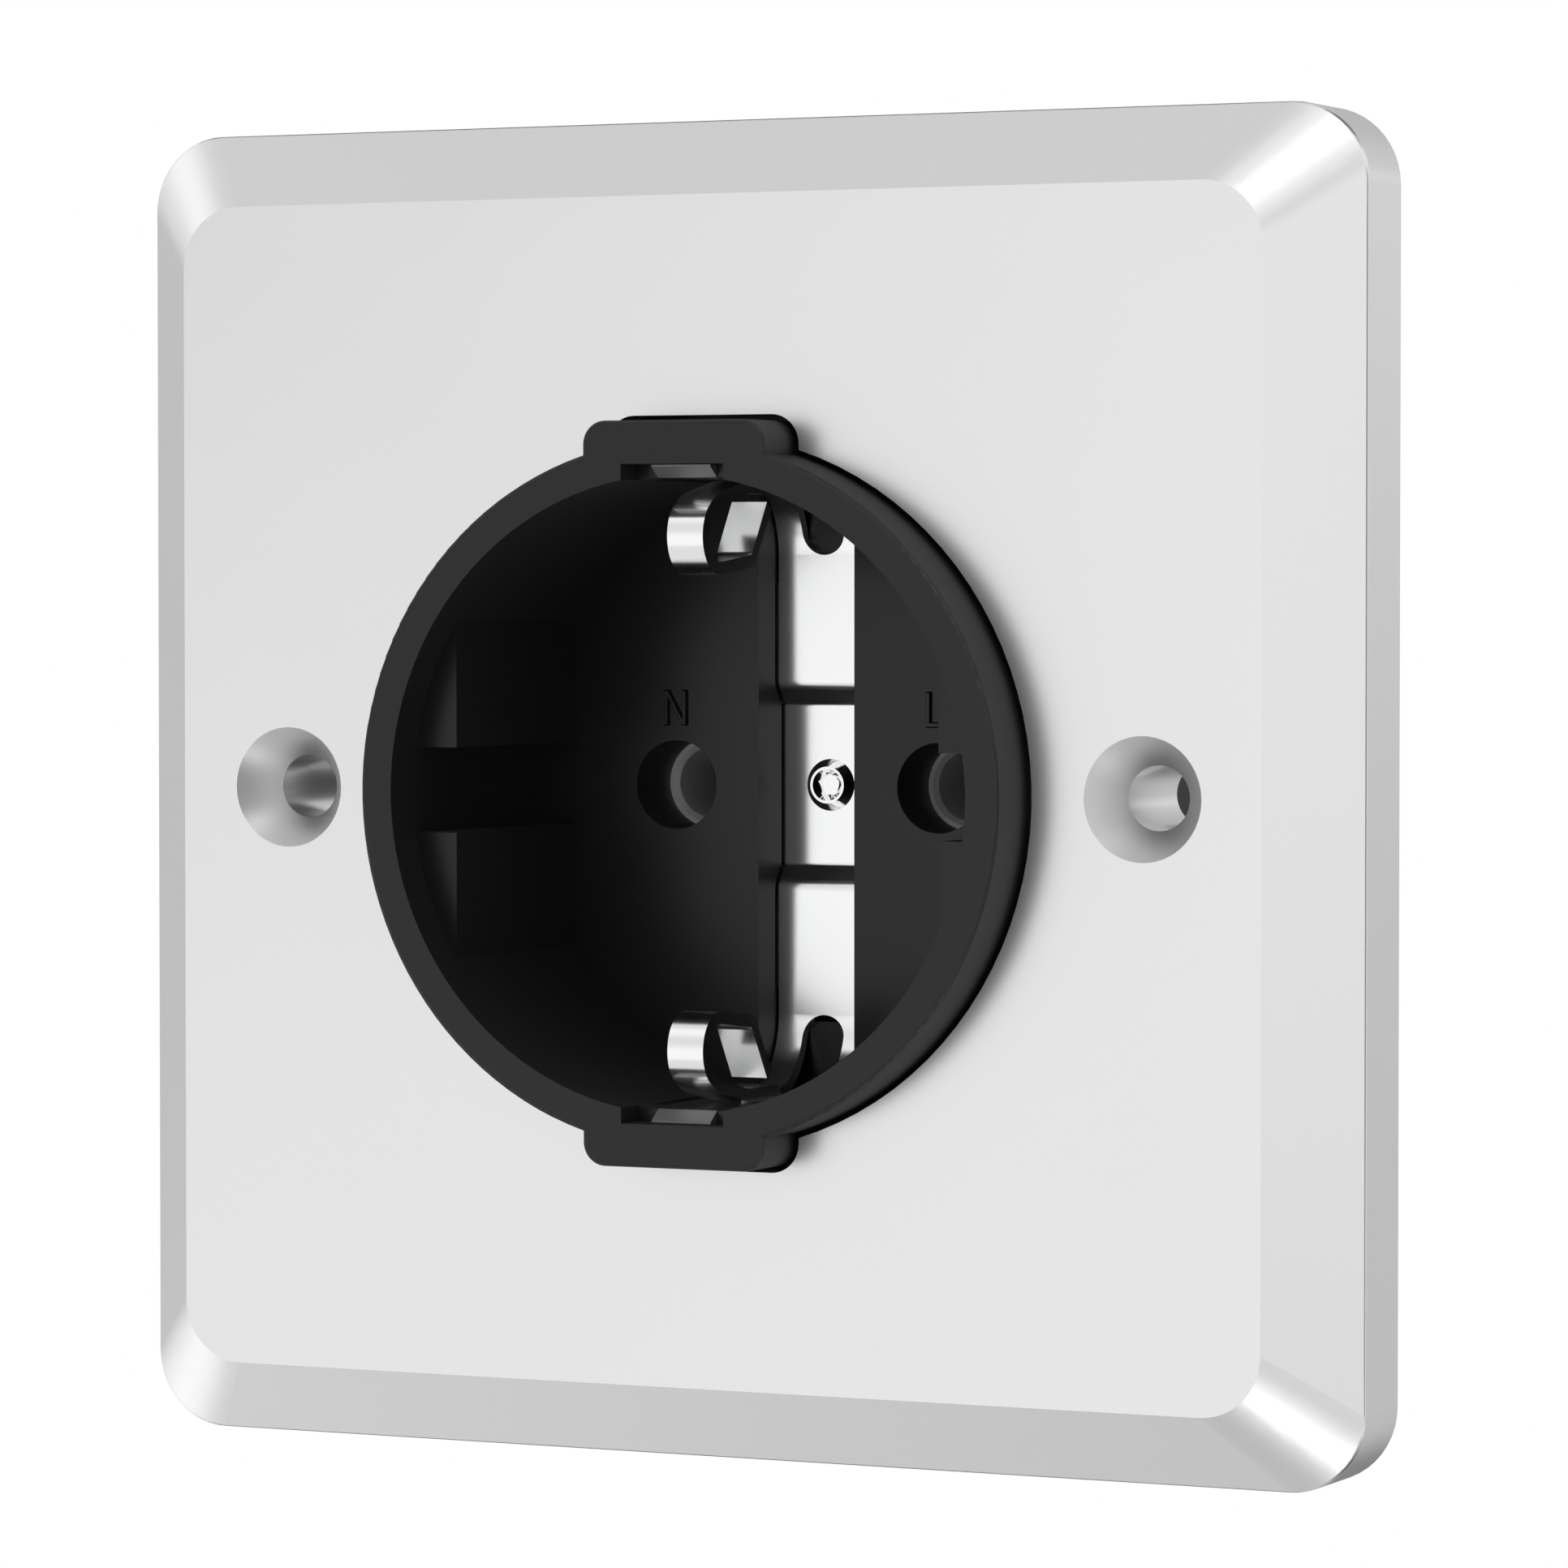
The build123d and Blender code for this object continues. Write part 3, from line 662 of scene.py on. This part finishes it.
@dataclass(frozen=True)
class Sign:
    """A raised moulded sign made of drafted outlines, sizes in metres."""

    name: str
    outlines: tuple[Outline, ...]
    middle: tuple[float, float]
    surface: float
    facing: Facing
    height: float = 0.25 * MM
    sunk: float = 0.05 * MM
    draft: float = 0.06 * MM
    edge: float = 0.05 * MM

    def inset(self, outline: np.ndarray, margin: float) -> np.ndarray:
        """Move every side of a counterclockwise outline inwards by a margin, with mitred corners.

        Args:
            outline: corner points.
            margin: distance to move each side.

        Returns:
            The smaller outline.
        """
        ahead = np.roll(outline, -1, axis=0) - outline
        ahead /= np.linalg.norm(ahead, axis=1, keepdims=True)
        inward = np.stack((-ahead[:, 1], ahead[:, 0]), axis=1)
        before = np.roll(inward, 1, axis=0)
        spread = 1.0 + np.sum(before * inward, axis=1, keepdims=True)
        return outline + margin * (before + inward) / spread

    def ring(self, outline: np.ndarray, level: float, margin: float) -> np.ndarray:
        """Place an outline over the surface, turned to the side that it is read from.

        Args:
            outline: corner points.
            level: height over the surface.
            margin: distance that the outline is drawn in.

        Returns:
            Points of the outline in space.
        """
        way = self.facing.value
        flat = self.inset(outline, margin)
        depth = np.full(len(flat), self.surface + way * level)
        return np.stack((self.middle[0] - way * flat[:, 0], depth, self.middle[1] + flat[:, 1]), axis=1)

    def build(self, palette: Palette) -> bpy.types.Object:
        """Carry each outline from the surface to its raised face, drawn in a little on the way.

        Args:
            palette: finishes of the socket.

        Returns:
            The sign as one piece.
        """
        foot = (-self.sunk, 0.0)
        shoulder = (self.height - self.edge, self.draft)
        face = (self.height, self.draft + self.edge)
        tubes = []
        for corners in self.outlines:
            outline = np.array(corners)
            tubes.append(Shape.tube(np.stack([self.ring(outline, *step) for step in (foot, shoulder, face)])))
        piece = Shape.joined(tubes).to_piece(self.name)
        palette.dress_piece(piece, Slot.PLASTIC)
        return piece


@dataclass(frozen=True)
class Alphabet:
    """Outlines of the plain signs, centred, counterclockwise, sizes in metres."""

    height: float = 2.4 * MM
    width: float = 1.75 * MM
    stroke: float = 0.42 * MM
    diagonal: float = 0.78 * MM
    bars: int = 3
    bar_pitch: float = 0.62 * MM
    bar_shrink: float = 0.27 * MM
    stem: float = 1.0 * MM

    def bar(self, left: float, right: float, low: float, high: float) -> Outline:
        """Give the outline of a straight bar."""
        return ((left, low), (right, low), (right, high), (left, high))

    def letter_n(self) -> tuple[Outline, ...]:
        """Give the letter N: two posts joined by a slanted bar.

        Returns:
            One outline.
        """
        right, top = self.width / 2.0, self.height / 2.0
        inner = right - self.stroke
        slant = top - self.diagonal
        outline = (
            (-right, -top), (-inner, -top), (-inner, slant), (inner, -top), (right, -top),
            (right, top), (inner, top), (inner, -slant), (-inner, top), (-right, top),
        )
        return (outline,)

    def letter_l(self) -> tuple[Outline, ...]:
        """Give the letter L: a post and a foot.

        Returns:
            One outline.
        """
        right, top = self.width / 2.0, self.height / 2.0
        post = self.stroke - right
        foot = self.stroke - top
        return (((-right, -top), (right, -top), (right, foot), (post, foot), (post, top), (-right, top)),)

    def earth(self) -> tuple[Outline, ...]:
        """Give the earth sign: a stem over shrinking bars.

        Returns:
            One outline for the stem and one for each bar.
        """
        right, top, half = self.width / 2.0, self.height / 2.0, self.stroke / 2.0
        first = top - self.stem
        outlines = [self.bar(-half, half, first + half, top)]
        for step in range(self.bars):
            middle = first - step * self.bar_pitch
            reach = right - step * self.bar_shrink
            outlines.append(self.bar(-reach, reach, middle - half, middle + half))
        return tuple(outlines)


LETTERS = Alphabet()
RECESS_DEPTH = 19.9 * MM
FIELD_DEPTH = 0.8 * MM
FLOOR_LEVEL = INSERT_FRONT + RECESS_DEPTH
FIELD_LEVEL = HOUSING_REAR - FIELD_DEPTH
SIGN_Z = 5.1 * MM
TERMINAL_SIGN_Z = -7.5 * MM
SIGNS = (
    Sign("sign_neutral_front", LETTERS.letter_n(), (-PIN_X, SIGN_Z), FLOOR_LEVEL, Facing.FRONT),
    Sign("sign_line_front", LETTERS.letter_l(), (PIN_X, SIGN_Z), FLOOR_LEVEL, Facing.FRONT),
    Sign("sign_neutral_rear", LETTERS.letter_n(), (-PIN_X, TERMINAL_SIGN_Z), FIELD_LEVEL, Facing.REAR),
    Sign("sign_earth_rear", LETTERS.earth(), (0.0, TERMINAL_SIGN_Z), FIELD_LEVEL, Facing.REAR),
    Sign("sign_line_rear", LETTERS.letter_l(), (PIN_X, TERMINAL_SIGN_Z), FIELD_LEVEL, Facing.REAR),
)


@dataclass(frozen=True)
class Lamp:
    """A soft box aimed at the middle of the socket, sizes in metres."""

    name: str
    towards: Direction
    width: float
    watts: float
    distance: float = 0.8

    def build(self) -> bpy.types.Object:
        """Make the lamp and aim it.

        Returns:
            The lamp object.
        """
        data = bpy.data.lights.new(self.name, "AREA")
        data.shape = "DISK"
        data.size = self.width
        data.energy = self.watts
        lamp = bpy.data.objects.new(self.name, data)
        lamp.visible_camera = False
        way = Vector(self.towards).normalized()
        lamp.location = way * self.distance
        lamp.rotation_euler = (-way).to_track_quat("-Z", "Y").to_euler()
        bpy.context.scene.collection.objects.link(lamp)
        return lamp


LAMPS = (
    Lamp("lamp_upper_right", (0.44, -0.32, 0.84), 0.35, 0.27),
    Lamp("lamp_lower_right", (0.55, -0.32, -0.77), 0.36, 0.37),
    Lamp("lamp_upper_left", (-0.87, 0.28, 0.41), 0.48, 0.14),
    Lamp("lamp_lower_left", (-0.87, 0.28, -0.47), 0.50, 0.185),
)


@dataclass(frozen=True)
class Card:
    """A flat grey reflector that bright metal sees and the camera does not, sizes in metres."""

    name: str
    towards: Direction
    distance: float
    width: float
    level: float
    rim: float = 1.0
    core: float = 0.45

    def build_surface(self, centre: Vector) -> bpy.types.Material:
        """Make the glow: the card's level over its core, fading to the rim's level.

        Args:
            centre: middle of the card.

        Returns:
            The material of the card.
        """
        material = bpy.data.materials.new(self.name)
        material.use_nodes = True
        tree = material.node_tree
        surface = tree.nodes["Principled BSDF"]
        surface.inputs["Base Color"].default_value = (*grey(0.0), 1.0)
        surface.inputs["Specular IOR Level"].default_value = 0.0
        surface.inputs["Emission Strength"].default_value = 1.0
        place = add_node(tree, "ShaderNodeTexCoord")
        reach = add_node(tree, "ShaderNodeVectorMath", operation="DISTANCE")
        reach.inputs[1].default_value = centre
        fade = add_node(tree, "ShaderNodeMapRange", interpolation_type="SMOOTHSTEP")
        fade.inputs["From Min"].default_value = self.core * self.width / 2.0
        fade.inputs["From Max"].default_value = self.width / 2.0
        fade.inputs["To Min"].default_value = self.level
        fade.inputs["To Max"].default_value = self.rim
        tree.links.new(place.outputs["Object"], reach.inputs[0])
        tree.links.new(reach.outputs["Value"], fade.inputs["Value"])
        tree.links.new(fade.outputs["Result"], surface.inputs["Emission Color"])
        return material

    def build(self) -> bpy.types.Object:
        """Make the card, facing the middle of the socket.

        Corners of a square: centre plus and minus half a width along two cross directions.

        Returns:
            The card, hidden from the camera and from shadows.
        """
        way = Vector(self.towards).normalized()
        turn = np.array(way.to_track_quat("Z", "Y").to_matrix())
        corners = self.width / 2.0 * np.array([(-1, -1, 0), (1, -1, 0), (1, 1, 0), (-1, 1, 0)])
        points = corners @ turn.T + np.array(way) * self.distance
        mesh = bpy.data.meshes.new(self.name)
        mesh.from_pydata(points.tolist(), [], [(0, 1, 2, 3)])
        card = bpy.data.objects.new(self.name, mesh)
        card.visible_camera = False
        card.visible_shadow = False
        bpy.context.scene.collection.objects.link(card)
        mesh.materials.append(self.build_surface(way * self.distance))
        return card


CARDS = (
    # Greys that the face, the bevels and the corners of the plate mirror.
    Card("card_left", (-0.95, 0.40, 0.0), 1.3, 1.6, 0.59),
    Card("card_right", (0.48, 0.88, -0.28), 1.2, 1.20, 0.585, 0.85),
    Card("card_top", (-0.40, 0.05, 0.92), 1.3, 1.6, 0.74),
    Card("card_face", (-0.70, -0.64, 0.32), 1.3, 1.40, 0.66),
    Card("card_upper_corner", (0.80, -0.41, 0.42), 1.2, 0.40, 0.58),
    Card("card_lower_corner", (-0.06, -0.10, -0.99), 0.85, 0.64, 0.57, 0.66),
    Card("card_lower_right", (0.86, -0.42, -0.30), 1.2, 0.60, 0.66),
    Card("card_lower_left", (-0.755, 0.255, -0.605), 0.99, 0.80, 0.98, 0.70),
    # Darker ones that draw its side and its rounded edges.
    Card("card_edge", (0.985, 0.17, 0.0), 1.2, 0.84, 0.0),
    Card("card_behind", (-0.1, 1.0, 0.0), 1.3, 2.2, 0.45),
    Card("card_left_edge", (-0.64, 0.77, 0.0), 1.2, 0.60, 0.0, 0.5),
    Card("card_top_edge", (-0.42, 0.62, 0.66), 1.2, 0.80, 0.0, 0.5),
    Card("card_bottom_edge", (-0.42, 0.62, -0.66), 1.0, 0.66, 0.0, 0.5),
    Card("card_upper_edge", (0.40, 0.42, 0.81), 1.1, 0.90, 0.0, 0.5),
    Card("card_lower_side", (-0.13, 0.93, -0.34), 1.15, 0.84, 0.16, 0.45),
    Card("card_lower_edge", (0.48, 0.42, -0.77), 0.9, 0.74, 0.0, 0.5),
)


@dataclass(frozen=True)
class Studio:
    """Pale floor, soft light, white surroundings and the camera of the picture, sizes in metres."""

    camera_at: tuple[float, float, float] = (184.12 * MM, -387.19 * MM, 13.086 * MM)
    camera_way: Direction = (-0.42807, 0.90325, -0.02984)
    camera_near: float = 10.0 * MM
    focal_px: float = 8129.43
    image_px: float = 1932.0
    sensor: float = 36.0
    floor_drop: float = 0.95
    floor_reach: float = 2.0
    floor_points: int = 96
    floor_colour: Colour = grey(0.915)
    floor_roughness: float = 0.8
    ambient: float = 0.83
    white: float = 1.0

    def build_camera(self) -> bpy.types.Object:
        """Place the camera where the picture was taken from.

        Returns:
            The camera object.
        """
        data = bpy.data.cameras.new("camera")
        data.sensor_width = self.sensor
        data.lens = self.focal_px / self.image_px * self.sensor
        data.clip_start = self.camera_near
        camera = bpy.data.objects.new("camera", data)
        camera.location = self.camera_at
        camera.rotation_euler = Vector(self.camera_way).to_track_quat("-Z", "Y").to_euler()
        bpy.context.scene.collection.objects.link(camera)
        bpy.context.scene.camera = camera
        return camera

    def build_world(self) -> None:
        """Light the scene softly; the eye and bright metal see plain white."""
        world = bpy.data.worlds.new("studio")
        bpy.context.scene.world = world
        world.use_nodes = True
        tree = world.node_tree
        tree.nodes.clear()
        path = add_node(tree, "ShaderNodeLightPath")
        seen = path.outputs["Is Camera Ray"]
        for ray in ("Is Glossy Ray", "Is Transmission Ray"):
            either = add_node(tree, "ShaderNodeMath", operation="MAXIMUM")
            tree.links.new(seen, either.inputs[0])
            tree.links.new(path.outputs[ray], either.inputs[1])
            seen = either.outputs["Value"]
        mix = add_node(tree, "ShaderNodeMixShader")
        tree.links.new(seen, mix.inputs["Fac"])
        for strength, socket in ((self.ambient, mix.inputs[1]), (self.white, mix.inputs[2])):
            light = add_node(tree, "ShaderNodeBackground")
            light.inputs["Color"].default_value = (*grey(1.0), 1.0)
            light.inputs["Strength"].default_value = strength
            tree.links.new(light.outputs["Background"], socket)
        out = add_node(tree, "ShaderNodeOutputWorld")
        tree.links.new(mix.outputs["Shader"], out.inputs["Surface"])

    def build_floor(self) -> bpy.types.Object:
        """Lay a round pale floor under the socket.

        Points of a circle: x = r cos a, y = r sin a, at one height.

        Returns:
            The floor.
        """
        angle = np.linspace(0.0, 2.0 * math.pi, self.floor_points, endpoint=False)
        x, y = np.cos(angle) * self.floor_reach, np.sin(angle) * self.floor_reach
        points = np.stack((x, y, np.full_like(angle, -self.floor_drop)), axis=1)
        mesh = bpy.data.meshes.new("floor")
        mesh.from_pydata(points.tolist(), [], [range(self.floor_points)])
        floor = bpy.data.objects.new("floor", mesh)
        bpy.context.scene.collection.objects.link(floor)
        material = bpy.data.materials.new("pale_floor")
        material.use_nodes = True
        surface = material.node_tree.nodes["Principled BSDF"]
        surface.inputs["Base Color"].default_value = (*self.floor_colour, 1.0)
        surface.inputs["Roughness"].default_value = self.floor_roughness
        mesh.materials.append(material)
        return floor

    def build(self) -> None:
        """Set up the view, the surroundings, the floor, lamps and cards, and the camera."""
        bpy.context.scene.view_settings.view_transform = "Standard"
        self.build_world()
        self.build_floor()
        for light in (*LAMPS, *CARDS):
            light.build()
        self.build_camera()


def main() -> None:
    """Dress the nodes, add the small pieces and light the scene."""
    logging.basicConfig(level=logging.INFO)
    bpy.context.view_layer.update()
    palette = Palette()
    palette.dress_nodes()
    for small in (*SCREWS, *SIGNS):
        small.build(palette)
    Studio().build()


if __name__ == "__main__":
    main()
